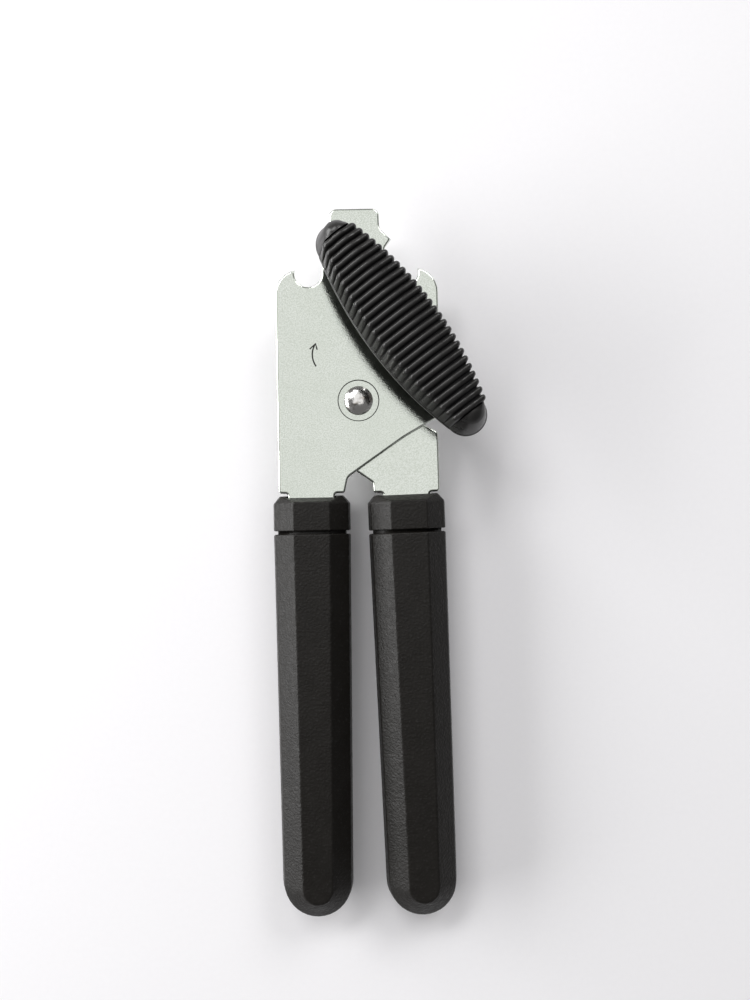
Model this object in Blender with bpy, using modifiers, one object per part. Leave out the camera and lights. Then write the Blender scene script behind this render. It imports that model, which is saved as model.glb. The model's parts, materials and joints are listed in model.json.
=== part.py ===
"""A manual can opener, lying on its back with the turning knob up.

Metres, +Z up. +Y runs from the handles to the head. The front half (left handle) is fixed, the back half
(right handle) swings about the pivot rivet, and the knob turns the feed wheel and, through two equal gears,
the cutter. The object is drawn in millimetres about the pivot's axis, with z = 0 at the underside, and the
last function moves it so that the origin is the middle of its footprint.
"""

import math

import bmesh
import bpy
from mathutils import Matrix, Vector

MM = 0.001

# Plates. The two halves are pressed from sheet of one thickness.
SHEET = 1.8
BACK_PLATE_Z = 8.0
FRONT_PLATE_Z = 10.1
PLATE_EDGE = 0.6
HALF_WIDTH = 22.06
NECK_Y = -24.9
SHOULDER_RISE = 0.12
TANG_WIDTH = 12.7
TANG_END_Y = -62.0
TANG_CORNER = 0.7
TAB_X = -0.35
TAB_TOP = 52.0
RIVET_HOLE = 3.3
RECESS_RADIUS = 5.65
RECESS_DEPTH = 0.9
BUSHING_RADIUS = 4.55
AXLE_HOLE = 2.75
BOSS_RADIUS = 7.2
ARROW_CENTRE = (-6.8, 12.55)
ARROW_RADIUS = 5.47
NOTCH_CENTRE = (13.1, 34.7)
NOTCH_RADIUS = 3.65
SHOULDER_CENTRE = (15.56, 29.2)
SHOULDER_RADIUS = 6.5

# Axes, as x and y from the pivot. The drive and cutter axes are one gear centre distance apart.
DRIVE = (11.13, 16.73)
CUTTER = (-3.37, 20.43)

# Handles. Both have the same moulding; the right one splays a little.
HANDLE_TOP_Y = -25.4
HANDLE_EDGE = 0.4
BOLSTER_EDGE = 0.3
BOLSTER_LENGTH = 9.6
GROOVE = 0.9
HANDLE_LENGTH = 114.9
HANDLE_HEIGHT = 15.6
HANDLE_HALF_TOP = 10.55
HANDLE_HALF_END = 9.65
BEVEL_IN = 5.7
DRAFT_IN = 0.6
BEVEL_DROP = 4.5
SPIGOT_IN = 1.1
SPIGOT_LENGTH = 2.5
SOCKET_OVERLAP = 0.9
SPIGOT_ROOT = 3.0
SLOT_END_GAP = 0.6
FIT = 0.4
LEFT_HANDLE = (-13.17, 0.0)
RIGHT_HANDLE = (12.7, 1.37)

# Gear train and wheels.
GEAR_TEETH = 12
GEAR_MODULE = 1.25
PRESSURE_ANGLE = math.radians(25)
ADDENDUM = 0.80
DEDENDUM = 1.15
BACKLASH = 0.30
GEAR_Z = (5.7, 7.5)
FEED_TEETH = 20
FEED_RADIUS = 6.2
FEED_TOOTH = 0.55
FEED_Z = (2.8, 5.4)
CUTTER_RADIUS = 9.8
CUTTER_BORE = 3.55
SQUARE = 4.4
CLEARANCE = 0.3

# Drive shaft and what sits on it: radii, and heights over the underside.
JOURNAL_RADIUS = 3.0
BEARING_RADIUS = 3.35
COLLAR_RADIUS = 4.4
COLLAR_LOW = 13.7
JOURNAL_LOW = 7.6
STEM_RADIUS = 2.0
STEM_LOW = 2.5
SHAFT_HEAD = [(3.4, 2.5), (3.4, 1.9), (2.8, 1.4)]
THRUST_Z = (7.8, 8.2)
WASHER_RADIUS = 5.0
LOW_SQUARE_Z = (2.15, 7.65)
KNOB_SQUARE = 5.3
KNOB_SQUARE_RISE = 7.7
KNOB_SOCKET = 6.0
KNOB_SOCKET_RISE = 9.0

# Knob: a leaf-shaped plan from two large arcs and two end arcs, with bars across it.
KNOB_LENGTH = 66.5
KNOB_WIDTH = 18.9
KNOB_SIDE_RADIUS = 105.4
KNOB_END_RADIUS = 5.54
KNOB_ANGLE = math.radians(126.15)
KNOB_BASE_Z = 20.5
KNOB_RIBS = 27
KNOB_RIB_SPAN = 56.0
KNOB_RIB_DEPTH = 1.0
KNOB_SAG = 2.6
# (distance in from the outline, height over the base, share of the rib depth taken inwards, and downwards)
KNOB_LEVELS = (
    (0.0, 0.0, 0.0, 0.0),
    (0.0, 1.0, 0.0, 0.0),
    (0.3, 2.3, 0.0, 0.0),
    (0.5, 4.8, 1.0, 0.05),
    (0.9, 9.7, 0.97, 0.2),
    (1.5, 11.0, 0.75, 0.66),
    (2.7, 11.65, 0.3, 0.95),
)
KNOB_CROWN = 12.6
KNOB_TOP_SHARES = (0.5, 0.0)
ROWS_PER_RIB = 3
CAP_ROWS = 6
CAP_START = 0.25

OVERCUT = 2.0
ROUND_STEPS = 32


# ---------------------------------------------------------------- scene and materials


def clear_scene():
    for old in list(bpy.data.objects):
        bpy.data.objects.remove(old)


def new_collection(name):
    made = bpy.data.collections.new(name)
    bpy.context.scene.collection.children.link(made)
    return made


def new_material(name, colour, metallic, roughness):
    made = bpy.data.materials.new(name)
    made.use_nodes = True
    shader = made.node_tree.nodes["Principled BSDF"]
    shader.inputs["Base Color"].default_value = (*colour, 1.0)
    shader.inputs["Metallic"].default_value = metallic
    shader.inputs["Roughness"].default_value = roughness
    return made


clear_scene()
PARTS = new_collection("manual_can_opener")
CUTTERS = new_collection("cutters")
PLATED_STEEL = new_material("plated_steel", (0.72, 0.74, 0.71), 1.0, 0.32)
POLISHED_STEEL = new_material("polished_steel", (0.78, 0.78, 0.77), 1.0, 0.10)
HARDENED_STEEL = new_material("hardened_steel", (0.50, 0.50, 0.51), 1.0, 0.38)
HANDLE_PLASTIC = new_material("handle_plastic", (0.022, 0.022, 0.022), 0.0, 0.55)
KNOB_PLASTIC = new_material("knob_plastic", (0.026, 0.026, 0.027), 0.0, 0.42)


# ---------------------------------------------------------------- outlines, in millimetres


def arc(centre, radius, start, end, steps):
    """Points along an arc, from one angle to another, in degrees."""
    points = []
    for step in range(steps + 1):
        angle = math.radians(start + (end - start) * step / steps)
        points.append((centre[0] + radius * math.cos(angle), centre[1] + radius * math.sin(angle)))
    return points


def sharp(points):
    """Points as corners that rounded() leaves alone."""
    return [(x, y, 0.0) for x, y in points]


def rounded(corners, degrees_a_step=12):
    """A closed outline from (x, y, radius) corners, each rounded by an arc of its radius."""
    outline = []
    count = len(corners)
    for index, (x, y, radius) in enumerate(corners):
        here = Vector((x, y))
        if radius == 0.0:
            outline.append((x, y))
            continue
        back = (Vector(corners[index - 1][:2]) - here).normalized()
        ahead = (Vector(corners[(index + 1) % count][:2]) - here).normalized()
        half = back.angle(ahead) / 2
        tangent = radius / math.tan(half)
        centre = here + (back + ahead).normalized() * radius / math.sin(half)
        first = here + back * tangent - centre
        last = here + ahead * tangent - centre
        turn = first.angle_signed(last)
        steps = max(2, round(abs(math.degrees(turn)) / degrees_a_step))
        for step in range(steps + 1):
            # angle_signed is positive clockwise, and a rotation matrix turns the other way.
            spoke = Matrix.Rotation(-turn * step / steps, 2) @ first
            outline.append(tuple(centre + spoke))
    return outline


def mirrored(corners):
    return [(-x, y, radius) for x, y, radius in reversed(corners)]


def head_side(tab_x):
    """The right side of the head, from the top of the tab, round the bottle notch, to the shoulder."""
    notch = arc(NOTCH_CENTRE, NOTCH_RADIUS, 172, 366, 14)
    shoulder = arc(SHOULDER_CENTRE, SHOULDER_RADIUS, 80, 0, 7)
    tab = [
        (tab_x + 6.75, TAB_TOP, 2.0),
        (tab_x + 6.85, 46.6, 2.6),
        (tab_x + 9.85, 43.6, 0.0),
        (tab_x + 8.0, 41.0, 1.6),
    ]
    return tab + sharp(notch) + sharp(shoulder)


def tang_corners(handle):
    """The four corners of the tongue that runs down into a handle, from its right side to its left."""
    handle_x, splay = handle
    slope = math.tan(math.radians(splay))
    corners = []
    for side, y in ((1, NECK_Y), (1, TANG_END_Y), (-1, TANG_END_Y), (-1, NECK_Y)):
        middle = handle_x + (HANDLE_TOP_Y - y) * slope
        corners.append((middle + side * TANG_WIDTH / 2, y, TANG_CORNER))
    return corners


def front_outline():
    """Clockwise: head, right edge, the long diagonal, neck, tang and left edge."""
    diagonal = [
        (HALF_WIDTH, -4.5, 1.0),
        (12.6, -9.75, 60.0),
        (-3.2, -20.7, 2.2),
        (-4.12, NECK_Y, 0.7),
    ]
    left = [(-HALF_WIDTH, NECK_Y + SHOULDER_RISE, 0.9)]
    return rounded(
        head_side(TAB_X) + diagonal + tang_corners(LEFT_HANDLE) + left + mirrored(head_side(-TAB_X))
    )


def back_outline():
    """Clockwise: cutter boss, the edge that leaves the drive shaft free, right leg, tang, hidden diagonal."""
    boss = arc(CUTTER, BOSS_RADIUS, 180, 0, 14)
    right = [(5.4, 7.0, 7.0), (10.2, -2.5, 7.0), (21.7, -8.6, 1.3), (21.95, NECK_Y + SHOULDER_RISE, 0.9)]
    left = [(3.75, NECK_Y, 0.7), (3.6, -22.15, 0.9), (-8.0, -13.8, 6.0), (-10.2, -2.0, 12.0)]
    return rounded(sharp(boss) + right + tang_corners(RIGHT_HANDLE) + left)


def gear_outline():
    """An involute spur gear, thinned so that it turns freely with its equal."""
    pitch = GEAR_TEETH * GEAR_MODULE / 2
    base = pitch * math.cos(PRESSURE_ANGLE)
    tip = pitch + ADDENDUM * GEAR_MODULE
    root = pitch - DEDENDUM * GEAR_MODULE

    def involute(radius):
        """The polar angle that an involute from the base circle has reached at this radius."""
        opening = math.acos(min(1.0, base / radius))
        return math.tan(opening) - opening

    half_tooth = math.pi / GEAR_TEETH / 2 - BACKLASH / 2 / pitch + involute(pitch)
    radii = [base + (tip - base) * step / 4 for step in range(5)]
    outline = []
    for tooth in range(GEAR_TEETH):
        middle = 2 * math.pi * tooth / GEAR_TEETH
        flank = [(root, -half_tooth)] + [(radius, involute(radius) - half_tooth) for radius in radii]
        flank += [(radius, -angle) for radius, angle in reversed(flank)]
        for radius, angle in flank:
            outline.append((radius * math.cos(middle + angle), radius * math.sin(middle + angle)))
    return outline


def serrated_outline():
    """The feed wheel: pointed teeth that bite under the can's rim."""
    outline = []
    for step in range(2 * FEED_TEETH):
        radius = FEED_RADIUS - FEED_TOOTH * (step % 2)
        angle = math.pi * step / FEED_TEETH
        outline.append((radius * math.cos(angle), radius * math.sin(angle)))
    return outline


def square_outline(side):
    half = side / 2
    return [(-half, -half), (half, -half), (half, half), (-half, half)]


# ---------------------------------------------------------------- solids


def add_object(name, mesh, material, collection=PARTS):
    made = bpy.data.objects.new(name, mesh)
    collection.objects.link(made)
    if material:
        mesh.materials.clear()
        mesh.materials.append(material)
    if collection == CUTTERS:
        made.hide_render = True
        made.display_type = "WIRE"
    return made


def mesh_from(source, name):
    """The evaluated shape of an object as one welded mesh, in its own place; the object is removed."""
    graph = bpy.context.evaluated_depsgraph_get()
    mesh = bpy.data.meshes.new_from_object(source.evaluated_get(graph))
    mesh.transform(source.matrix_world)
    mesh.name = name
    form = bmesh.new()
    form.from_mesh(mesh)
    bmesh.ops.remove_doubles(form, verts=form.verts, dist=1e-6)
    bmesh.ops.dissolve_limit(form, angle_limit=math.radians(0.5), verts=form.verts, edges=form.edges)
    form.to_mesh(mesh)
    form.free()
    bpy.data.objects.remove(source)
    return mesh


def flat_mesh(name, outlines, low, high):
    """Flat outlines, the first with the others as its holes, made as thick as low to high."""
    curve = bpy.data.curves.new(name, "CURVE")
    curve.dimensions = "2D"
    curve.fill_mode = "BOTH"
    curve.extrude = (high - low) / 2 * MM
    for outline in outlines:
        spline = curve.splines.new("POLY")
        spline.points.add(len(outline) - 1)
        for point, (x, y) in zip(spline.points, outline):
            point.co = (x * MM, y * MM, 0.0, 1.0)
        spline.use_cyclic_u = True
    source = bpy.data.objects.new(name, curve)
    CUTTERS.objects.link(source)
    source.location.z = (low + high) / 2 * MM
    bpy.context.view_layer.update()
    return mesh_from(source, name)


def turned(name, profile, material, axis=(0.0, 0.0), collection=PARTS):
    """A closed (radius, z) profile, down its outer side, turned about a vertical axis."""
    mesh = bpy.data.meshes.new(name)
    form = bmesh.new()
    points = [form.verts.new((radius * MM, 0.0, z * MM)) for radius, z in profile]
    closed = min(radius for radius, _ in profile) > 0.0
    for here, ahead in zip(points, points[1:] + points[:1] if closed else points[1:]):
        form.edges.new((here, ahead))
    form.to_mesh(mesh)
    form.free()
    made = add_object(name, mesh, material, collection)
    made.location = (axis[0] * MM, axis[1] * MM, 0.0)
    screw = made.modifiers.new("turn", "SCREW")
    screw.steps = ROUND_STEPS
    screw.render_steps = ROUND_STEPS
    screw.use_merge_vertices = True
    screw.merge_threshold = 1e-6
    return made


def ring(name, inner, outer, low, high, material, axis=(0.0, 0.0)):
    """A plain washer or collar."""
    return turned(name, [(inner, high), (outer, high), (outer, low), (inner, low)], material, axis)


def block(name, middle, size, turn=0.0):
    """A box that cuts or joins: middle and size in millimetres, turned about Z by degrees."""
    mesh = bpy.data.meshes.new(name)
    form = bmesh.new()
    bmesh.ops.create_cube(form, size=1.0)
    bmesh.ops.scale(form, vec=Vector(size) * MM, verts=form.verts)
    form.to_mesh(mesh)
    form.free()
    made = add_object(name, mesh, None, CUTTERS)
    made.location = Vector(middle) * MM
    made.rotation_euler.z = math.radians(turn)
    return made


def combine(target, tool, operation="DIFFERENCE"):
    modifier = target.modifiers.new(operation.lower(), "BOOLEAN")
    modifier.operation = operation
    modifier.object = tool


def soften(target, width, segments, least_angle=25):
    """Rounds the edges that turn by more than least_angle degrees."""
    modifier = target.modifiers.new("edges", "BEVEL")
    modifier.width = width * MM
    modifier.segments = segments
    modifier.limit_method = "ANGLE"
    modifier.angle_limit = math.radians(least_angle)
    modifier.use_clamp_overlap = False
    return modifier


def mark_rims(mesh):
    """Gives a flat piece's two rims full bevel weight, and the edges up its sides none."""
    form = bmesh.new()
    form.from_mesh(mesh)
    form.normal_update()
    weight = form.edges.layers.float.new("bevel_weight_edge")
    for edge in form.edges:
        upright = [abs(face.normal.z) for face in edge.link_faces]
        edge[weight] = 1.0 if max(upright) > 0.9 and min(upright) < 0.1 else 0.0
    form.to_mesh(mesh)
    form.free()


def shade_round(target, angle=35):
    target.data.shade_smooth()
    target.data.set_sharp_from_angle(angle=math.radians(angle))


def loft(name, rows, material, closed_ends=True, collection=PARTS):
    """A solid through rows of points, each row a closed loop of the same number of points, in millimetres."""
    mesh = bpy.data.meshes.new(name)
    form = bmesh.new()
    rings = [[form.verts.new(Vector(point) * MM) for point in row] for row in rows]
    for lower, upper in zip(rings, rings[1:]):
        for here in range(len(lower)):
            ahead = (here + 1) % len(lower)
            form.faces.new((lower[here], lower[ahead], upper[ahead], upper[here]))
    if closed_ends:
        form.faces.new(reversed(rings[0]))
        form.faces.new(rings[-1])
    bmesh.ops.remove_doubles(form, verts=form.verts, dist=1e-6)
    bmesh.ops.dissolve_degenerate(form, edges=form.edges, dist=1e-7)
    bmesh.ops.recalc_face_normals(form, faces=form.faces)
    form.to_mesh(mesh)
    form.free()
    return add_object(name, mesh, material, collection)


# ---------------------------------------------------------------- plates and pivot


def drill(name, radius, low, high, axis):
    """A round cutting tool from one height to another."""
    return turned(name, [(0.0, high), (radius, high), (radius, low), (0.0, low)], None, axis, CUTTERS)


def make_plate(name, outline, low, holes):
    """A pressed plate with softened edges and round holes, each (centre, radius)."""
    mesh = flat_mesh(name, [outline], low, low + SHEET)
    mark_rims(mesh)
    plate = add_object(name, mesh, PLATED_STEEL)
    soften(plate, PLATE_EDGE, 3).limit_method = "WEIGHT"
    for index, (centre, radius) in enumerate(holes):
        combine(plate, drill(f"{name}_hole_{index}", radius, low - OVERCUT, low + SHEET + OVERCUT, centre))
    return plate


def engraved_line(name, points, z, radius=0.22):
    """A round-bottomed line for engraving, as a mesh tube along the points."""
    curve = bpy.data.curves.new(name, "CURVE")
    curve.dimensions = "3D"
    curve.bevel_depth = radius * MM
    curve.bevel_resolution = 1
    curve.use_fill_caps = True
    spline = curve.splines.new("POLY")
    spline.points.add(len(points) - 1)
    for point, (x, y) in zip(spline.points, points):
        point.co = (x * MM, y * MM, z * MM, 1.0)
    source = bpy.data.objects.new(name, curve)
    CUTTERS.objects.link(source)
    bpy.context.view_layer.update()
    return add_object(name, mesh_from(source, name), None, CUTTERS)


def make_front_plate():
    top = FRONT_PLATE_Z + SHEET
    holes = [((0, 0), RIVET_HOLE), (DRIVE, BUSHING_RADIUS + CLEARANCE)]
    plate = make_plate("front_plate", front_outline(), FRONT_PLATE_Z, holes)
    combine(plate, drill("pivot_recess", RECESS_RADIUS, top - RECESS_DEPTH, top + OVERCUT, (0, 0)))
    # A curved arrow beside the pivot shows which way the knob turns: its shaft, then its two barbs.
    shaft = arc(ARROW_CENTRE, ARROW_RADIUS, 215, 150, 7)
    tip = arc(ARROW_CENTRE, ARROW_RADIUS, 146, 146, 1)[0]
    combine(plate, engraved_line("arrow_shaft", shaft, top))
    barbs = [(tip[0] - 1.6, tip[1] - 1.5), tip, (tip[0] + 0.4, tip[1] - 1.7)]
    combine(plate, engraved_line("arrow_head", barbs, top))
    return plate


def make_back_plate():
    return make_plate("back_plate", back_outline(), BACK_PLATE_Z, [((0, 0), RIVET_HOLE), (CUTTER, AXLE_HOLE)])


def make_pivot():
    """The rivet's dome stands on a ring that is sunk in the front plate; its tail is headed behind."""
    seat = FRONT_PLATE_Z + SHEET + 0.15
    dome_rise = 1.75
    head = 3.9
    dome = []
    for step in range(7):
        angle = math.radians(90 - 90 * step / 6)
        dome.append((head * math.cos(angle), seat + dome_rise * math.sin(angle)))
    dome[0] = (0.0, seat + dome_rise)
    tail = [(2.9, seat), (2.9, 7.7), (4.2, 7.7), (4.2, 7.1), (3.6, 6.6), (0.0, 6.6)]
    rivet = turned("pivot_rivet", dome + tail, POLISHED_STEEL)
    ring_top = FRONT_PLATE_Z + SHEET - 0.15
    washer = ring("pivot_washer", 3.2, 5.4, ring_top - 0.45, ring_top, PLATED_STEEL)
    return [rivet, washer]


# ---------------------------------------------------------------- handles


def section_levels(inset):
    """(height, distance in from the side) up a handle's section, with every face moved in by inset."""
    middle = HANDLE_HEIGHT / 2
    top, shoulder, waist = (-BEVEL_IN, HANDLE_HEIGHT), (-DRAFT_IN, HANDLE_HEIGHT - BEVEL_DROP), (0.0, middle)

    def normal(first, second):
        run = Vector(second) - Vector(first)
        return Vector((-run.y, run.x)).normalized()

    faces = [Vector((0.0, 1.0)), normal(top, shoulder), normal(shoulder, waist), Vector((1.0, 0.0))]
    faces[1:3] = [face if face.y > 0 else -face for face in faces[1:3]]
    corners = []
    for corner, one, other in ((top, faces[0], faces[1]), (shoulder, faces[1], faces[2])):
        solve = Matrix(((one.x, one.y), (other.x, other.y))).inverted()
        corners.append(Vector(corner) - solve @ Vector((inset, inset)))
    upper = [(point.y, -point.x) for point in reversed(corners)]
    lower = [(HANDLE_HEIGHT - z, distance) for z, distance in reversed(upper)]
    return lower + [(middle, inset / faces[2].x)] + upper


def grip_rows(inset, top_y, end_y):
    """Level outlines of a grip: straight sides that taper to a round end."""
    rows = []
    for z, side in section_levels(inset):
        half_top = HANDLE_HALF_TOP - side
        radius = HANDLE_HALF_END - side
        end = arc((0.0, end_y + HANDLE_HALF_END), radius, 0, -180, 18)
        rows.append([(x, y, z) for x, y in [(half_top, top_y)] + end + [(-half_top, top_y)]])
    return rows


def prism_rows(inset, top_y, end_y):
    """Level outlines of a stretch of the handle's section with square ends."""
    rows = []
    for z, side in section_levels(inset):
        half = HANDLE_HALF_TOP - side
        rows.append([(half, top_y, z), (half, end_y, z), (-half, end_y, z), (-half, top_y, z)])
    return rows


def bolster_rows(top_y, end_y):
    """Level outlines of a bolster, whose outer corners and top edge are chamfered."""
    corner_in, corner_down, top_in = 1.8, 2.1, 1.9
    rows = []
    for z, side in section_levels(0.0):
        half = HANDLE_HALF_TOP - side
        share = side / BEVEL_IN
        top = top_y - top_in * share
        inner = half - corner_in * (1 - share) - 0.3 * share
        below = top - corner_down * (1 - share) - 0.4 * share
        right = [(inner, top, z), (half, below, z), (half, end_y, z)]
        rows.append(right + [(-x, y, height) for x, y, height in reversed(right)])
    return rows


def make_handle(side, handle, tang_low):
    """A bolster and a grip on one tang. The grip's spigot fills the joint line under the bolster."""
    handle_x, splay = handle
    holder = bpy.data.objects.new(f"{side}_handle_place", None)
    PARTS.objects.link(holder)
    holder.location = (handle_x * MM, HANDLE_TOP_Y * MM, 0.0)
    holder.rotation_euler.z = math.radians(splay)

    grip_top = -BOLSTER_LENGTH - GROOVE
    slot_end = TANG_END_Y - HANDLE_TOP_Y - SLOT_END_GAP
    slot_size = (TANG_WIDTH + 2 * FIT, OVERCUT - slot_end, SHEET + 2 * FIT)
    slot = block(f"{side}_tang_slot", (0, (slot_end + OVERCUT) / 2, tang_low + SHEET / 2), slot_size)

    bolster = loft(f"{side}_bolster", bolster_rows(0.0, -BOLSTER_LENGTH), HANDLE_PLASTIC)
    soften(bolster, BOLSTER_EDGE, 2)
    socket_top = grip_top + GROOVE + SPIGOT_LENGTH - SOCKET_OVERLAP
    socket_rows = prism_rows(SPIGOT_IN - FIT, socket_top, grip_top - OVERCUT)
    socket = loft(f"{side}_socket", socket_rows, None, collection=CUTTERS)
    combine(bolster, socket)
    combine(bolster, slot)

    grip = loft(f"{side}_grip", grip_rows(0.0, grip_top, -HANDLE_LENGTH), HANDLE_PLASTIC)
    soften(grip, HANDLE_EDGE, 2)
    spigot_rows = prism_rows(SPIGOT_IN, socket_top - FIT, grip_top - SPIGOT_ROOT)
    spigot = loft(f"{side}_spigot", spigot_rows, None, collection=CUTTERS)
    combine(grip, spigot, "UNION")
    combine(grip, slot)

    for piece in (bolster, grip, socket, spigot, slot):
        piece.parent = holder
    return [bolster, grip], holder


# ---------------------------------------------------------------- knob


def knob_half_width(distance):
    """Half the knob's width at a distance along it from its middle."""
    flat = KNOB_SIDE_RADIUS - KNOB_WIDTH / 2
    return math.sqrt(KNOB_SIDE_RADIUS**2 - distance**2) - flat


def knob_sag(distance):
    """How much lower the crown is at a distance along the knob from its middle."""
    return KNOB_SAG * (distance / (KNOB_LENGTH / 2)) ** 2


def knob_row(edge, inwards, middle_t, groove, roundness=0.0):
    """One line of points over the knob, from its base on one side to its base on the other.

    edge is the (t, n) outline point, inwards the unit (t, n) direction in from it, middle_t where the row
    crosses the knob's long axis, groove the depth that the ribs' profile takes away here, and roundness how
    far the wall and top give way to one dome.
    """
    side = []
    for depth, height, level_in, level_down in KNOB_LEVELS:
        taken = depth + groove * level_in
        sag = knob_sag(edge[0]) * height / KNOB_CROWN
        point = (edge[0] + inwards[0] * taken, max(0.0, edge[1] + inwards[1] * taken))
        side.append((*point, height - groove * level_down - sag))
    last_t, last_n, _ = side[-1]
    shoulder = KNOB_LEVELS[-1][1]
    for share in KNOB_TOP_SHARES:
        t = middle_t + (last_t - middle_t) * share
        crown = shoulder + (KNOB_CROWN - shoulder) * (1 - share**2)
        side.append((t, last_n * share, crown - groove - knob_sag(t)))
    if roundness:
        side = domed(side, edge, middle_t, roundness)
    other = [(t, -n, height) for t, n, height in reversed(side[:-1])]
    return side + other


def domed(side, edge, middle_t, roundness):
    """A row's points over the rim, moved towards an ellipse that rises to the row's last point."""
    rim, top = KNOB_LEVELS[1][1], side[-1][2]
    reach = [0.0]
    for here, ahead in zip(side, side[1:]):
        reach.append(reach[-1] + math.dist(here, ahead))
    moved = side[:2]
    for point, distance in zip(side[2:], reach[2:]):
        angle = math.pi / 2 * (distance - rim) / (reach[-1] - rim)
        in_share, up_share = 1 - math.cos(angle), math.sin(angle)
        t = edge[0] + (middle_t - edge[0]) * in_share
        dome = (t, edge[1] * (1 - in_share), rim + (top - rim) * up_share)
        moved.append(tuple(a + (b - a) * roundness for a, b in zip(point, dome)))
    return moved


def knob_rows():
    pitch = KNOB_RIB_SPAN / KNOB_RIBS
    first = -KNOB_RIB_SPAN / 2
    rows = []
    for index in range(KNOB_RIBS * ROWS_PER_RIB + 1):
        t = first + pitch * index / ROWS_PER_RIB
        across = 2 * (index % ROWS_PER_RIB) / ROWS_PER_RIB - 1
        groove = KNOB_RIB_DEPTH * (1 - math.sqrt(1 - across**2))
        rows.append(knob_row((t, knob_half_width(t)), (0.0, -1.0), t, groove))
    # The smooth caps: the outline runs round the end while the rows swing from across the knob to along it.
    end_t = KNOB_LENGTH / 2 - KNOB_END_RADIUS
    start = math.asin((KNOB_RIB_SPAN / 2 + CAP_START - end_t) / KNOB_END_RADIUS)
    cap = []
    for step in range(CAP_ROWS + 1):
        share = step / CAP_ROWS
        around = start + (math.pi / 2 - start) * share
        swing = math.pi / 2 * share
        edge = (end_t + KNOB_END_RADIUS * math.sin(around), KNOB_END_RADIUS * math.cos(around))
        inwards = (-math.sin(swing), -math.cos(swing))
        cap.append(knob_row(edge, inwards, KNOB_RIB_SPAN / 2, 0.0, min(1.0, 0.35 + 2 * share)))
    other_cap = [[(-t, n, height) for t, n, height in row] for row in reversed(cap)]
    return other_cap + rows + cap


def make_knob():
    cos, sin = math.cos(KNOB_ANGLE), math.sin(KNOB_ANGLE)
    rows = [
        [(t * cos - n * sin, t * sin + n * cos, KNOB_BASE_Z + height) for t, n, height in row]
        for row in knob_rows()
    ]
    knob = loft("knob", rows, KNOB_PLASTIC, closed_ends=False)
    knob.location = (DRIVE[0] * MM, DRIVE[1] * MM, 0.0)
    socket_z = (KNOB_BASE_Z - OVERCUT, KNOB_BASE_Z + KNOB_SOCKET_RISE)
    socket = post("knob_socket", KNOB_SOCKET, socket_z, math.degrees(KNOB_ANGLE))
    combine(knob, socket)
    return knob, socket


# ---------------------------------------------------------------- drive and cutter


def on_axis(name, outlines, heights, axis, material, turn=0.0):
    """A flat piece centred on an axis, turned about it by degrees."""
    made = add_object(name, flat_mesh(name, outlines, *heights), material)
    made.location = (axis[0] * MM, axis[1] * MM, 0.0)
    made.rotation_euler.z = math.radians(turn)
    return made


def post(name, side, heights, turn):
    """A square tool on the drive axis, from one height to another."""
    low, high = heights
    return block(name, (*DRIVE, (low + high) / 2), (side, side, high - low), turn)


def gear_phase():
    """The turn, in degrees, that points a tooth of the drive gear at the cutter axis."""
    return math.degrees(math.atan2(CUTTER[1] - DRIVE[1], CUTTER[0] - DRIVE[0]))


def make_drive():
    bore = square_outline(SQUARE + 2 * CLEARANCE)
    gear = on_axis("drive_gear", [gear_outline(), bore], GEAR_Z, DRIVE, HARDENED_STEEL, gear_phase())
    wheel = on_axis("feed_wheel", [serrated_outline(), bore], FEED_Z, DRIVE, HARDENED_STEEL, gear_phase())
    thrust = ring("thrust_washer", BEARING_RADIUS, WASHER_RADIUS, *THRUST_Z, HARDENED_STEEL, DRIVE)
    cone = [(3.4, 9.2), (4.0, 9.2), (WASHER_RADIUS, 8.85), (WASHER_RADIUS, 8.5), (4.0, 8.85), (3.4, 8.85)]
    spring = turned("spring_washer", cone, HARDENED_STEEL, DRIVE)

    top = KNOB_BASE_Z - CLEARANCE
    profile = [(0.0, top), (COLLAR_RADIUS, top), (COLLAR_RADIUS, COLLAR_LOW), (JOURNAL_RADIUS, COLLAR_LOW)]
    profile += [(JOURNAL_RADIUS, JOURNAL_LOW), (STEM_RADIUS, JOURNAL_LOW), (STEM_RADIUS, STEM_LOW)]
    profile += [*SHAFT_HEAD, (0.0, SHAFT_HEAD[-1][1])]
    shaft = turned("drive_shaft", profile, HARDENED_STEEL, DRIVE)
    lower = post("shaft_square_low", SQUARE, LOW_SQUARE_Z, gear_phase())
    upper_z = (top - 0.2, KNOB_BASE_Z + KNOB_SQUARE_RISE)
    upper = post("shaft_square_high", KNOB_SQUARE, upper_z, math.degrees(KNOB_ANGLE))
    combine(shaft, lower, "UNION")
    combine(shaft, upper, "UNION")
    return [gear, wheel, thrust, spring, shaft], [lower, upper]


def make_bushing():
    """A flanged bush set in the front plate, with its lower end flared."""
    top = FRONT_PLATE_Z + SHEET + CLEARANCE
    flange, low = 6.2, 9.5
    profile = [(BEARING_RADIUS, top + 1.1), (flange - 0.4, top + 1.1), (flange, top + 0.7), (flange, top)]
    profile += [(BUSHING_RADIUS, top), (BUSHING_RADIUS, low), (BEARING_RADIUS, low)]
    return turned("drive_bushing", profile, HARDENED_STEEL, DRIVE)


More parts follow.
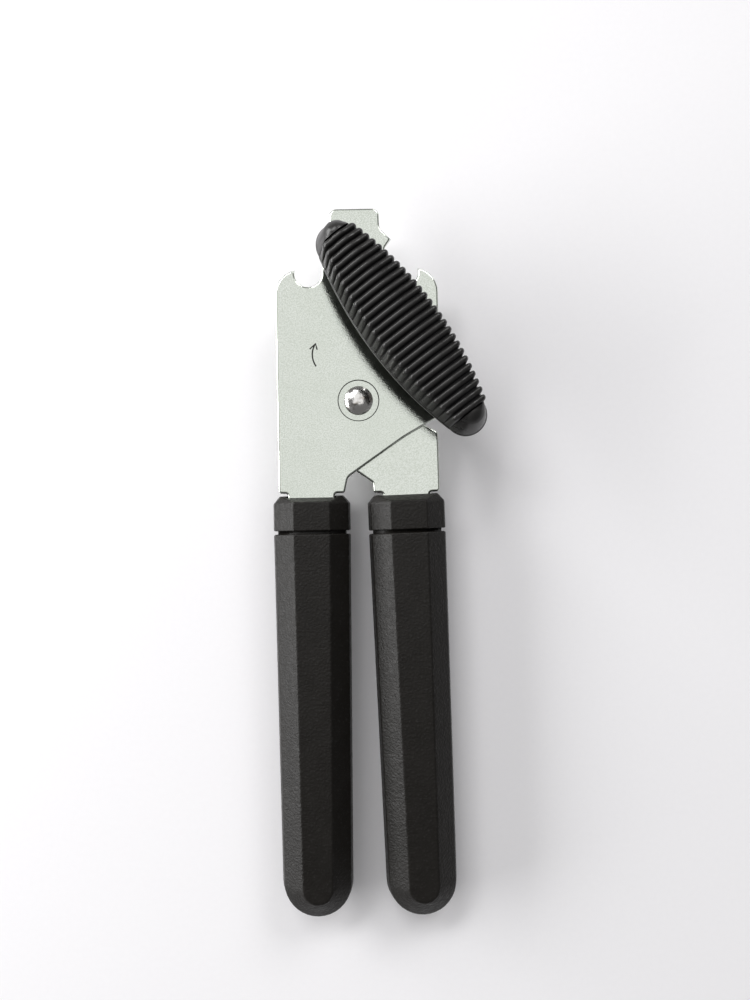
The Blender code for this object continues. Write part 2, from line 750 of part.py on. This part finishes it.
def make_cutter():
    bore = arc((0, 0), CUTTER_BORE, 0, 360 - 360 / ROUND_STEPS, ROUND_STEPS - 1)
    turn = gear_phase() + 180 / GEAR_TEETH
    gear = on_axis("cutter_gear", [gear_outline(), bore], GEAR_Z, CUTTER, HARDENED_STEEL, turn)
    spacer = ring("cutter_spacer", CUTTER_BORE, 5.2, 2.8, 5.4, HARDENED_STEEL, CUTTER)
    blade = [(CUTTER_BORE, 2.5), (CUTTER_RADIUS - 1.2, 2.5), (CUTTER_RADIUS, 2.35), (CUTTER_RADIUS, 2.25)]
    blade += [(CUTTER_RADIUS - 2.2, 1.7), (CUTTER_BORE, 1.7)]
    wheel = turned("cutter_wheel", blade, HARDENED_STEEL, CUTTER)
    washer = ring("cutter_washer", CUTTER_BORE, 5.5, 1.1, 1.4, HARDENED_STEEL, CUTTER)
    return [gear, spacer, wheel, washer]


def make_cutter_axle():
    """The axle's upper end is set in the back plate, and its lower end has a head."""
    profile = [(0.0, 9.6), (2.4, 9.6), (2.4, 7.7), (3.2, 7.7), (3.2, 0.8), (4.8, 0.8)]
    profile += [(5.0, 0.6), (5.0, 0.2), (4.7, 0.0), (0.0, 0.0)]
    return turned("cutter_axle", profile, HARDENED_STEEL, CUTTER)


# ---------------------------------------------------------------- assembly


def empty_at(name, axis, parent):
    made = bpy.data.objects.new(name, None)
    PARTS.objects.link(made)
    made.location = (axis[0] * MM, axis[1] * MM, 0.0)
    made.parent = parent
    return made


def attach(pieces, parent):
    """Parents pieces, keeping them where they are."""
    bpy.context.view_layer.update()
    for piece in pieces:
        place = piece.matrix_world.copy()
        piece.parent = parent
        piece.matrix_parent_inverse = parent.matrix_world.inverted()
        piece.matrix_world = place


def footprint_middle():
    """The middle of the whole object's box, seen from above."""
    bpy.context.view_layer.update()
    graph = bpy.context.evaluated_depsgraph_get()
    corners = []
    for piece in PARTS.objects:
        if piece.type == "MESH":
            shape = piece.evaluated_get(graph)
            corners += [piece.matrix_world @ Vector(corner) for corner in shape.bound_box]
    low = Vector([min(corner[axis] for corner in corners) for axis in range(3)])
    high = Vector([max(corner[axis] for corner in corners) for axis in range(3)])
    return (low + high) / 2


def build():
    root = bpy.data.objects.new("front_half", None)
    PARTS.objects.link(root)
    pivot = empty_at("handle_pivot", (0, 0), root)
    drive = empty_at("knob_axis", DRIVE, root)
    cutter = empty_at("cutter_axis", CUTTER, pivot)

    left_pieces, left_place = make_handle("left", LEFT_HANDLE, FRONT_PLATE_Z)
    right_pieces, right_place = make_handle("right", RIGHT_HANDLE, BACK_PLATE_Z)
    drive_pieces, drive_tools = make_drive()
    knob, knob_tool = make_knob()
    cutter_pieces = make_cutter()

    attach([make_front_plate(), make_bushing(), *make_pivot(), left_place], root)
    attach([make_back_plate(), make_cutter_axle(), right_place], pivot)
    attach([knob, knob_tool, *drive_pieces, *drive_tools], drive)
    attach(cutter_pieces, cutter)
    tools = [tool for tool in CUTTERS.objects if tool.parent is None]
    attach(tools, root)

    for piece in (*left_pieces, *right_pieces):
        shade_round(piece, 20)
    for piece in PARTS.objects:
        if piece.type == "MESH" and piece not in (*left_pieces, *right_pieces):
            shade_round(piece)

    middle = footprint_middle()
    root.location = (-middle.x, -middle.y, 0.0)
    bpy.context.view_layer.update()
    for name in ("handle_pivot", "knob_axis", "cutter_axis"):
        place = bpy.data.objects[name].matrix_world.translation
        print(f"{name} is at {place.x:.6f}, {place.y:.6f}")


build()
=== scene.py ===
"""Looks for the manual can opener: plated steel, a polished rivet, black grips and a ribbed knob.

Metres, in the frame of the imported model: +Y runs from the handles to the head, +Z up, the floor at z = 0.
"""

import json
import math

import bmesh
import bpy
from mathutils import Matrix, Vector


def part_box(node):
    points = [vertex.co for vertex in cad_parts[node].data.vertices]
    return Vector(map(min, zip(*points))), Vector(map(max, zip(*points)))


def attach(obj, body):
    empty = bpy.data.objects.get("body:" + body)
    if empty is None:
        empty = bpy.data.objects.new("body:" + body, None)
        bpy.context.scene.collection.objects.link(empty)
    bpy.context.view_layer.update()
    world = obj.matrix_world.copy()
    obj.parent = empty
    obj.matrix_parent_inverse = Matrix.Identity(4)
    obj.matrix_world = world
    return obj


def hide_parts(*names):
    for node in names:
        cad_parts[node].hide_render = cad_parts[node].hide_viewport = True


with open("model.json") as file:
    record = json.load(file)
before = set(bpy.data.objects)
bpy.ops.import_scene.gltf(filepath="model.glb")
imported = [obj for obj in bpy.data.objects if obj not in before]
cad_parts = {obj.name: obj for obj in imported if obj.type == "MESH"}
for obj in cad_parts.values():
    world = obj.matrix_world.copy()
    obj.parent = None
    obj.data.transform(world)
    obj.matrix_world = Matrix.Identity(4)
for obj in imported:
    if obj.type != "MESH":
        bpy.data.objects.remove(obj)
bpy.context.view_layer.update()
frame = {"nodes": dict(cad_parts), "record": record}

MM = 0.001

# Edges that turn by more than this stay sharp, in degrees. The knob's bars need more, to shade as round.
SMOOTH_ANGLE = 35
KNOB_SMOOTH_ANGLE = 50

# Vertices closer than this are welded, in millimetres, and faces closer to flat than this are merged.
WELD = 0.001
KNOB_WELD = 0.002
FLAT_ANGLE = math.radians(0.4)

# The knob's plan and section, in millimetres: a leaf shape with bars across it. It is a little shorter and
# lower than the CAD's knob, so that it stays inside it, and its grooves are deeper.
KNOB_LENGTH = 66.4
KNOB_WIDTH = 18.9
KNOB_SIDE_RADIUS = 105.4
KNOB_END_RADIUS = 5.54
KNOB_ANGLE = math.radians(126.15)
KNOB_RIBS = 27
KNOB_RIB_SPAN = 56.0
KNOB_RIB_DEPTH = 1.25
KNOB_SAG = 2.6
KNOB_CROWN = 12.53

# Where the engraved arrow lies from the pivot's middle, half its width and height, how far out the rivet's
# recess reaches, and how far under the plate's face the engraving starts, in millimetres.
ARROW_MIDDLE = (-12.0, 13.2, 0.0)
ARROW_HALF = (3.2, 6.0)
RECESS_REACH = 6.0
UNDER_FACE = 0.02

# The camera looks straight down, a little turned, from this height over the floor. It stands off to one side
# of what it aims at, and a lens shift brings that back to the middle. The picture is as high as VIEW_HEIGHT
# where the plates lie, at SCALE_HEIGHT.
CAMERA_AIM = (-0.00055, 0.01735)
CAMERA_OFFSET = (-0.012, -0.008)
CAMERA_HEIGHT = 0.24
CAMERA_TURN = math.radians(-1.0)
CAMERA_CLIP = (0.01, 20.0)
SENSOR = 36.0
VIEW_HEIGHT = 0.2725
SCALE_HEIGHT = 0.010

# Each area light's name, place, width, height and power. All face LIGHT_AIM.
LIGHTS = (
    ("overhead", (0.0, 0.42, 1.5), 1.2, 1.2, 3.6),
    ("window", (-0.95, 0.15, 0.32), 1.2, 0.4, 14.0),
    ("key", (-0.50, 0.75, 0.90), 0.8, 0.3, 7.0),
    ("fill", (0.8, 1.4, 1.1), 0.9, 0.7, 12.0),
)
LIGHT_AIM = (0.0, 0.02, 0.0)
WORLD_COLOUR = (1.0, 0.99, 1.0, 1.0)
WORLD_STRENGTH = 0.155
FLOOR_SIZE = 4.0

# A darker and a lighter tone of each surface, and the colours that lie on them.
NICKEL = ((0.725, 0.765, 0.70), (0.775, 0.81, 0.755))
NICKEL_SPECK = (0.63, 0.67, 0.60)
# Painted shade, laid in the engraved arrow and the rivet's recess.
RECESS_PAINTED_SHADE = (0.03, 0.03, 0.028)
RIVET = ((0.80, 0.79, 0.76), (0.88, 0.87, 0.85))
RIVET_STAIN = (0.28, 0.25, 0.21)
HARDENED = ((0.40, 0.40, 0.41), (0.56, 0.56, 0.55))
HANDLE = ((0.0070, 0.0060, 0.0048), (0.0105, 0.0092, 0.0078))
HANDLE_SPECK = (0.030, 0.029, 0.028)
KNOB = ((0.016, 0.0155, 0.015), (0.023, 0.022, 0.021))
# Painted shade, laid in the knob's grooves.
KNOB_GROOVE_PAINTED_SHADE = (0.002, 0.002, 0.002)
PAPER = ((0.87, 0.86, 0.875), (0.90, 0.89, 0.905))


# ---------------------------------------------------------------- materials


class Surface:
    """A Principled material whose nodes are added one by one."""

    def __init__(self, name, **sockets):
        self.material = bpy.data.materials.new(name)
        self.material.use_nodes = True
        self.tree = self.material.node_tree
        self.shader = self.tree.nodes["Principled BSDF"]
        self.set(self.shader, sockets)
        self.place = self.add("ShaderNodeTexCoord").outputs["Object"]

    def set(self, node, sockets):
        """Gives sockets a value or a link; a socket's name is written with _ for its spaces."""
        for name, value in sockets.items():
            socket = node.inputs[int(name[1:])] if name[0] == "_" else node.inputs[name.replace("_", " ")]
            if isinstance(value, bpy.types.NodeSocket):
                self.tree.links.new(value, socket)
            else:
                socket.default_value = value

    def add(self, kind, settings=None, **sockets):
        node = self.tree.nodes.new(kind)
        for name, value in (settings or {}).items():
            setattr(node, name, value)
        self.set(node, sockets)
        return node

    def noise(self, size, detail=2.0, roughness=0.5, stretch=(1.0, 1.0, 1.0), turn=0.0):
        """Noise whose features are about size millimetres across, as a 0 to 1 socket."""
        where = self.place
        if stretch != (1.0, 1.0, 1.0) or turn:
            mapping = self.add("ShaderNodeMapping", Vector=where)
            mapping.inputs["Rotation"].default_value = (0.0, 0.0, turn)
            mapping.inputs["Scale"].default_value = stretch
            where = mapping.outputs["Vector"]
        texture = self.add(
            "ShaderNodeTexNoise", Vector=where, Scale=1 / (size * MM), Detail=detail, Roughness=roughness
        )
        return texture.outputs["Fac"]

    def ramp(self, value, low, high, out_low, out_high):
        """A number socket rescaled from low..high to out_low..out_high, and clamped."""
        node = self.add("ShaderNodeMapRange", Value=value)
        node.inputs["From Min"].default_value = low
        node.inputs["From Max"].default_value = high
        node.inputs["To Min"].default_value = out_low
        node.inputs["To Max"].default_value = out_high
        return node.outputs["Result"]

    def blend(self, amount, first, second):
        """A colour between two, by an amount socket."""
        node = self.add("ShaderNodeMix", {"data_type": "RGBA"})
        self.tree.links.new(amount, node.inputs["Factor"])
        for socket, colour in ((node.inputs[6], first), (node.inputs[7], second)):
            if isinstance(colour, bpy.types.NodeSocket):
                self.tree.links.new(colour, socket)
            else:
                socket.default_value = (*colour, 1.0)
        return node.outputs[2]

    def tones(self, value, low, high, colours):
        """A darker colour where a socket is low, giving way to a lighter one where it is high."""
        return self.blend(self.ramp(value, low, high, 0.0, 1.0), *colours)

    def total(self, first, second):
        return self.add("ShaderNodeMath", {"operation": "ADD"}, _0=first, _1=second).outputs[0]

    def painted_shade_mark(self, low, high):
        """How far a place lies in a groove, from the mesh's own mark, as a 0 to 1 socket: where shade is
        painted in.
        """
        mark = self.add("ShaderNodeAttribute", {"attribute_name": "groove"}).outputs["Fac"]
        return self.ramp(mark, low, high, 0.0, 1.0)

    def bump(self, height, depth, below=None):
        """Relief whose full range is depth millimetres, on top of another relief."""
        node = self.add("ShaderNodeBump", Height=height, Distance=depth * MM, Strength=1.0)
        if below is not None:
            self.tree.links.new(below, node.inputs["Normal"])
        return node.outputs["Normal"]


def plated_steel():
    """Satin nickel plating: a fine grain from rolling and blasting, faint clouds and smudges."""
    surface = Surface("plated_steel_look", Metallic=1.0)
    clouds = surface.noise(size=14.0, detail=3.0, roughness=0.6)
    grain = surface.noise(size=0.32, detail=1.5)
    smudge = surface.noise(size=5.0, detail=4.0, roughness=0.65)
    colour = surface.tones(clouds, 0.35, 0.65, NICKEL)
    colour = surface.blend(surface.ramp(grain, 0.36, 0.62, 0.0, 1.0), NICKEL_SPECK, colour)
    # Painted shade: the engraved arrow and the rivet's recess are darkened towards a dark colour.
    colour = surface.blend(surface.painted_shade_mark(0.05, 0.4), colour, RECESS_PAINTED_SHADE)
    smudged = surface.ramp(smudge, 0.3, 0.7, 0.09, 0.13)
    rough = surface.total(smudged, surface.ramp(grain, 0.3, 0.7, -0.03, 0.03))
    relief = surface.bump(grain, 0.017)
    surface.set(surface.shader, {"Base Color": colour, "Roughness": rough, "Normal": relief})
    return surface.material


def polished_steel():
    """The rivet's bright head: slightly dented, with hairline polishing marks, haze and brown stains."""
    surface = Surface("polished_steel_look", Metallic=1.0)
    marks = surface.noise(size=0.25, stretch=(1.0, 0.08, 1.0), turn=0.5)
    haze = surface.noise(size=1.6, detail=3.0)
    dents = surface.noise(size=2.2, roughness=0.55)
    stains = surface.noise(size=3.0)
    colour = surface.tones(haze, 0.35, 0.7, RIVET)
    colour = surface.blend(surface.ramp(stains, 0.50, 0.60, 0.0, 0.8), colour, RIVET_STAIN)
    rough = surface.ramp(haze, 0.3, 0.7, 0.13, 0.24)
    relief = surface.bump(marks, 0.003, surface.bump(dents, 0.14))
    surface.set(surface.shader, {"Base Color": colour, "Roughness": rough, "Normal": relief})
    return surface.material


def hardened_steel():
    """Machined and tumbled steel of the gears, wheels, shaft and axle, darker than the plating."""
    surface = Surface("hardened_steel_look", Metallic=1.0)
    clouds = surface.noise(size=3.0, detail=3.0, roughness=0.6)
    turning = surface.noise(size=0.3, roughness=0.6, stretch=(1.0, 1.0, 6.0))
    colour = surface.tones(clouds, 0.35, 0.68, HARDENED)
    rough = surface.ramp(clouds, 0.3, 0.7, 0.46, 0.30)
    relief = surface.bump(turning, 0.006)
    surface.set(surface.shader, {"Base Color": colour, "Roughness": rough, "Normal": relief})
    return surface.material


def handle_plastic():
    """Black moulded plastic with a fine sparked texture, faintly dusty."""
    surface = Surface("handle_plastic_look", Specular_IOR_Level=0.28)
    grain = surface.noise(size=0.65, detail=1.5, roughness=0.6)
    cells = surface.noise(size=1.6, detail=3.0, roughness=0.6)
    dust = surface.noise(size=7.0, detail=5.0, roughness=0.7)
    colour = surface.tones(dust, 0.40, 0.75, HANDLE)
    colour = surface.blend(surface.ramp(grain, 0.58, 0.78, 0.0, 0.5), colour, HANDLE_SPECK)
    rough = surface.ramp(cells, 0.3, 0.7, 0.40, 0.52)
    relief = surface.bump(grain, 0.15, surface.bump(cells, 0.030))
    surface.set(surface.shader, {"Base Color": colour, "Roughness": rough, "Normal": relief})
    return surface.material


def knob_plastic():
    """Smoother black plastic: a satin gloss, worn a little unevenly, and rougher grooves with shade painted
    in near-black.
    """
    surface = Surface("knob_plastic_look", Specular_IOR_Level=0.42)
    grain = surface.noise(size=0.22, roughness=0.6)
    wear = surface.noise(size=4.0, detail=4.0, roughness=0.65)
    groove = surface.painted_shade_mark(0.1, 0.8)
    colour = surface.tones(wear, 0.35, 0.7, KNOB)
    # Painted shade: the grooves darken towards near-black with their depth, where shade would fall.
    colour = surface.blend(groove, colour, KNOB_GROOVE_PAINTED_SHADE)
    rough = surface.total(surface.ramp(wear, 0.3, 0.7, 0.24, 0.36), surface.ramp(groove, 0.0, 1.0, 0.0, 0.45))
    relief = surface.bump(grain, 0.005)
    surface.set(surface.shader, {"Base Color": colour, "Roughness": rough, "Normal": relief})
    return surface.material


def floor_paper():
    """The pale floor, with a faint fibre."""
    surface = Surface("floor_paper", Roughness=0.9, Specular_IOR_Level=0.1)
    fibre = surface.noise(size=1.5, detail=4.0, roughness=0.6)
    surface.set(surface.shader, {"Base Color": surface.blend(fibre, *PAPER)})
    return surface.material


# ---------------------------------------------------------------- pieces


def shade_by_angle(mesh, degrees):
    mesh.shade_smooth()
    mesh.set_sharp_from_angle(angle=math.radians(degrees))


def stand_in(mesh, name, node, material):
    """Shows a mesh in place of a CAD node, on the node's body and in the node's material slot."""
    piece = bpy.data.objects.new(name, mesh)
    bpy.context.scene.collection.objects.link(piece)
    mesh.materials.append(material)
    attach(piece, NODE_BODY[node])
    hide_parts(node)
    return piece


def mark_engraving(form):
    """Marks what lies under the front plate's face in the arrow and round the rivet, where shade is painted
    in as a darker colour.
    """
    low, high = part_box("pivot_rivet")
    pivot = (low + high) / 2
    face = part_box("front_plate")[1].z - UNDER_FACE * MM
    mark = form.verts.layers.float.new("groove")
    for vert in form.verts:
        from_rivet = (vert.co - pivot) / MM
        from_arrow = from_rivet - Vector(ARROW_MIDDLE)
        in_arrow = abs(from_arrow.x) < ARROW_HALF[0] and abs(from_arrow.y) < ARROW_HALF[1]
        if vert.co.z < face and (in_arrow or from_rivet.xy.length < RECESS_REACH):
            vert[mark] = 1.0


def smooth_copy(node, material):
    """The CAD node's own shape, welded so that its rounded edges and turned faces shade as curves."""
    mesh = bpy.data.meshes.new(node + "_finish")
    form = bmesh.new()
    form.from_mesh(frame["nodes"][node].data)
    bmesh.ops.remove_doubles(form, verts=form.verts, dist=WELD * MM)
    bmesh.ops.dissolve_limit(form, angle_limit=FLAT_ANGLE, verts=form.verts, edges=form.edges)
    if node == "front_plate":
        mark_engraving(form)
    form.to_mesh(mesh)
    form.free()
    shade_by_angle(mesh, SMOOTH_ANGLE)
    piece = stand_in(mesh, node + "_finish", node, material)
    # Flat faces keep their own normals, and only the narrow rounded strips between them shade as curves.
    piece.modifiers.new("flat_faces", "WEIGHTED_NORMAL").keep_sharp = True


def bodies_of_nodes():
    groups = frame["record"]["behaviour"]["bodies"]
    return {node: body for body, nodes in groups.items() for node in nodes}


def slots_of_nodes():
    """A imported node's material has the name of its slot."""
    return {name: node.data.materials[0].name for name, node in frame["nodes"].items()}


# ---------------------------------------------------------------- knob

# Corners of the knob's section: (distance in from the outline, height over the base, corner radius).
KNOB_SECTION = (
    (0.0, 0.0, 0.0),
    (0.0, 1.0, 0.3),
    (0.2, 1.15, 0.1),
    (1.05, 11.45, 1.6),
    (3.4, 11.85, 0.0),
)

# Heights over the base: where the grooves start at the knob's middle, how much higher they start at the end
# bars, and over how much height they reach their full depth.
RIM_HEIGHT = 1.2
RIM_RISE = 3.2
GROOVE_END = 2.4

# A bar's share of the rib pitch, how square its section is, and how far across the pitch its rows spread.
BAR_SHARE = 0.77
BAR_SQUARENESS = 2.8
BAR_SPREAD = 0.95

# Where the smooth cap starts past the bars, how far it is a dome there, and how fast it turns into one.
CAP_GAP = 0.15
CAP_ROUNDNESS = 0.6
CAP_ROUNDING = 1.5

# How finely the knob is divided.
CORNER_STEPS = 6
ROWS_A_BAR = 14
TOP_STEPS = 7
CAP_ROWS = 24


def rounded_path(corners):
    """Points along a path of (x, y, radius) corners, its corners rounded."""
    points = []
    for index, (x, y, radius) in enumerate(corners):
        here = Vector((x, y))
        if radius == 0.0:
            points.append(here)
            continue
        back = (Vector(corners[index - 1][:2]) - here).normalized()
        ahead = (Vector(corners[index + 1][:2]) - here).normalized()
        half = back.angle(ahead) / 2
        reach = radius / math.tan(half)
        centre = here + (back + ahead).normalized() * radius / math.sin(half)
        first, last = here + back * reach - centre, here + ahead * reach - centre
        turn = first.angle_signed(last)
        for step in range(CORNER_STEPS + 1):
            points.append(centre + Matrix.Rotation(-turn * step / CORNER_STEPS, 2) @ first)
    return points


def section_points():
    """(in, up, groove direction in, groove direction up) up one side of the knob."""
    path = rounded_path(KNOB_SECTION)
    found = []
    for index, point in enumerate(path):
        before, after = path[max(0, index - 1)], path[min(len(path) - 1, index + 1)]
        along = (after - before).normalized()
        found.append((point.x, point.y, along.y, -along.x))
    return found


def half_width(distance):
    """Half the knob's width at a distance along it from its middle."""
    flat = KNOB_SIDE_RADIUS - KNOB_WIDTH / 2
    return math.sqrt(KNOB_SIDE_RADIUS**2 - distance**2) - flat


def sag(t):
    """How much lower the crown is at a distance along the knob from its middle."""
    return KNOB_SAG * (t / (KNOB_LENGTH / 2)) ** 2


def knob_row(edge, inwards, middle_t, groove, roundness=0.0):
    """A line of points over the knob, from its base on one side to its base on the other.

    edge is the (t, n) outline point, inwards the unit (t, n) direction in from it, middle_t where the row
    crosses the knob's long axis, groove the depth taken away here, and roundness how far the wall and top
    give way to one elliptical dome. Each point is (t, n, height, groove depth there).
    """
    plain = RIM_HEIGHT + RIM_RISE * (middle_t / (KNOB_RIB_SPAN / 2)) ** 2
    rim_top = KNOB_SECTION[1][1]
    side = []
    for depth, height, move_in, move_up in SECTION:
        share = min(1.0, max(0.0, (height - plain) / GROOVE_END))
        taken = depth + groove * share * move_in
        t, n = edge[0] + inwards[0] * taken, max(0.0, edge[1] + inwards[1] * taken)
        up = height + groove * share * move_up - sag(edge[0]) * height / KNOB_CROWN
        side.append((t, n, up, groove * share))
    last_t, last_n, _, _ = side[-1]
    shoulder = SECTION[-1][1]
    for step in range(1, TOP_STEPS + 1):
        share = 1 - step / TOP_STEPS
        t = middle_t + (last_t - middle_t) * share
        crown = shoulder + (KNOB_CROWN - shoulder) * (1 - share**2)
        side.append((t, last_n * share, crown - groove - sag(t), groove))
    if roundness:
        side = domed(side, edge, middle_t, rim_top, roundness)
    other = [(t, -n, height, deep) for t, n, height, deep in reversed(side[:-1])]
    return side + other


def domed(side, edge, middle_t, rim_top, roundness):
    """A row's points moved towards an ellipse that rises from the rim to where the row ends."""
    top = side[-1][2]
    length = [0.0]
    for here, ahead in zip(side, side[1:]):
        length.append(length[-1] + math.dist(here[:3], ahead[:3]))
    moved = []
    for (t, n, height, deep), distance in zip(side, length):
        if height <= rim_top:
            moved.append((t, n, height, deep))
            continue
        angle = math.pi / 2 * (distance - rim_top) / (length[-1] - rim_top)
        share = 1 - math.cos(angle)
        dome_t = edge[0] + (middle_t - edge[0]) * share
        dome_height = rim_top + (top - rim_top) * math.sin(angle)
        place = zip((t, n, height), (dome_t, edge[1] * (1 - share), dome_height))
        moved.append((*[old + (new - old) * roundness for old, new in place], deep))
    return moved


def bar_profile(across):
    """How much of the groove's depth is taken at a place across a bar, from -1 to 1."""
    reach = abs(across) / BAR_SHARE
    if reach >= 1.0:
        return 1.0
    return 1 - (1 - reach**BAR_SQUARENESS) ** (1 / BAR_SQUARENESS)


def knob_rows():
    """The knob's rows of points from one end to the other: a cap, the bars and the other cap."""
    pitch = KNOB_RIB_SPAN / KNOB_RIBS
    rows = []
    for bar in range(KNOB_RIBS):
        middle = -KNOB_RIB_SPAN / 2 + pitch * (bar + 0.5)
        for step in range(ROWS_A_BAR):
            across = BAR_SPREAD * math.sin(math.pi * (step / (ROWS_A_BAR - 1) - 0.5))
            t = middle + across * pitch / 2
            rows.append(knob_row((t, half_width(t)), (0.0, -1.0), t, KNOB_RIB_DEPTH * bar_profile(across)))
    # The smooth caps: the outline runs round the end while the rows swing from across the knob to along it.
    end_t = KNOB_LENGTH / 2 - KNOB_END_RADIUS
    start = math.asin((KNOB_RIB_SPAN / 2 + CAP_GAP - end_t) / KNOB_END_RADIUS)
    cap = []
    for step in range(CAP_ROWS + 1):
        share = step / CAP_ROWS
        around = start + (math.pi / 2 - start) * share
        swing = math.pi / 2 * share
        edge = (end_t + KNOB_END_RADIUS * math.sin(around), KNOB_END_RADIUS * math.cos(around))
        roundness = min(1.0, CAP_ROUNDNESS + CAP_ROUNDING * share)
        inwards = (-math.sin(swing), -math.cos(swing))
        cap.append(knob_row(edge, inwards, KNOB_RIB_SPAN / 2, 0.0, roundness))
    other_cap = [[(-t, n, height, deep) for t, n, height, deep in row] for row in reversed(cap)]
    return other_cap + rows + cap


def knob_mesh():
    """The knob with rounded bars, in the place of the CAD's knob and marked by how deep its grooves are."""
    low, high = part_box("knob")
    middle = (low + high) / 2
    base = Vector((middle.x, middle.y, low.z))
    turn = Matrix.Rotation(KNOB_ANGLE, 3, "Z")
    mesh = bpy.data.meshes.new("knob_finish")
    form = bmesh.new()
    # Each vertex keeps its groove depth, which the material turns into painted shade.
    painted_shade_mark = form.verts.layers.float.new("groove")
    rings = []
    for row in knob_rows():
        ring = []
        for t, n, height, deep in row:
            vert = form.verts.new(turn @ Vector((t, n, height)) * MM + base)
            vert[painted_shade_mark] = deep / KNOB_RIB_DEPTH
            ring.append(vert)
        rings.append(ring)
    for lower, upper in zip(rings, rings[1:]):
        for here in range(len(lower)):
            ahead = (here + 1) % len(lower)
            form.faces.new((lower[here], lower[ahead], upper[ahead], upper[here]))
    bmesh.ops.remove_doubles(form, verts=form.verts, dist=KNOB_WELD * MM)
    bmesh.ops.dissolve_degenerate(form, edges=form.edges, dist=WELD * MM)
    bmesh.ops.recalc_face_normals(form, faces=form.faces)
    form.to_mesh(mesh)
    form.free()
    shade_by_angle(mesh, KNOB_SMOOTH_ANGLE)
    return mesh


# ---------------------------------------------------------------- stage


def make_floor():
    mesh = bpy.data.meshes.new("floor")
    half = FLOOR_SIZE / 2
    corners = [(-half, -half, 0), (half, -half, 0), (half, half, 0), (-half, half, 0)]
    mesh.from_pydata(corners, [], [(0, 1, 2, 3)])
    mesh.materials.append(floor_paper())
    floor = bpy.data.objects.new("floor", mesh)
    bpy.context.scene.collection.objects.link(floor)


def area_light(name, place, width, height, power):
    """A soft light that faces LIGHT_AIM."""
    light = bpy.data.lights.new(name, "AREA")
    light.shape = "RECTANGLE"
    light.size, light.size_y = width, height
    light.energy = power
    lamp = bpy.data.objects.new(name, light)
    bpy.context.scene.collection.objects.link(lamp)
    lamp.location = place
    lamp.rotation_euler = (Vector(LIGHT_AIM) - Vector(place)).to_track_quat("-Z", "Y").to_euler()


def make_lights():
    world = bpy.data.worlds.new("studio")
    world.use_nodes = True
    background = world.node_tree.nodes["Background"]
    background.inputs["Color"].default_value = WORLD_COLOUR
    background.inputs["Strength"].default_value = WORLD_STRENGTH
    bpy.context.scene.world = world
    for light in LIGHTS:
        area_light(*light)


def make_camera():
    data = bpy.data.cameras.new("camera")
    data.sensor_width = SENSOR
    data.lens = SENSOR * (CAMERA_HEIGHT - SCALE_HEIGHT) / VIEW_HEIGHT
    data.clip_start, data.clip_end = CAMERA_CLIP
    turned = Matrix.Rotation(-CAMERA_TURN, 2) @ Vector(CAMERA_OFFSET)
    data.shift_x, data.shift_y = -turned.x / VIEW_HEIGHT, -turned.y / VIEW_HEIGHT
    camera = bpy.data.objects.new("camera", data)
    bpy.context.scene.collection.objects.link(camera)
    stand = Vector(CAMERA_AIM) + Vector(CAMERA_OFFSET)
    camera.location = (stand.x, stand.y, CAMERA_HEIGHT)
    camera.rotation_euler = (0.0, 0.0, CAMERA_TURN)
    bpy.context.scene.camera = camera


# ---------------------------------------------------------------- the scene

NODE_BODY = bodies_of_nodes()
NODE_SLOT = slots_of_nodes()
SECTION = section_points()
MATERIALS = {
    "plated_steel": plated_steel(),
    "polished_steel": polished_steel(),
    "hardened_steel": hardened_steel(),
    "handle_plastic": handle_plastic(),
    "knob_plastic": knob_plastic(),
}

for name in sorted(frame["nodes"]):
    if name != "knob":
        smooth_copy(name, MATERIALS[NODE_SLOT[name]])
stand_in(knob_mesh(), "knob_finish", "knob", MATERIALS["knob_plastic"])

make_floor()
make_lights()
make_camera()
bpy.context.scene.view_settings.view_transform = "Standard"
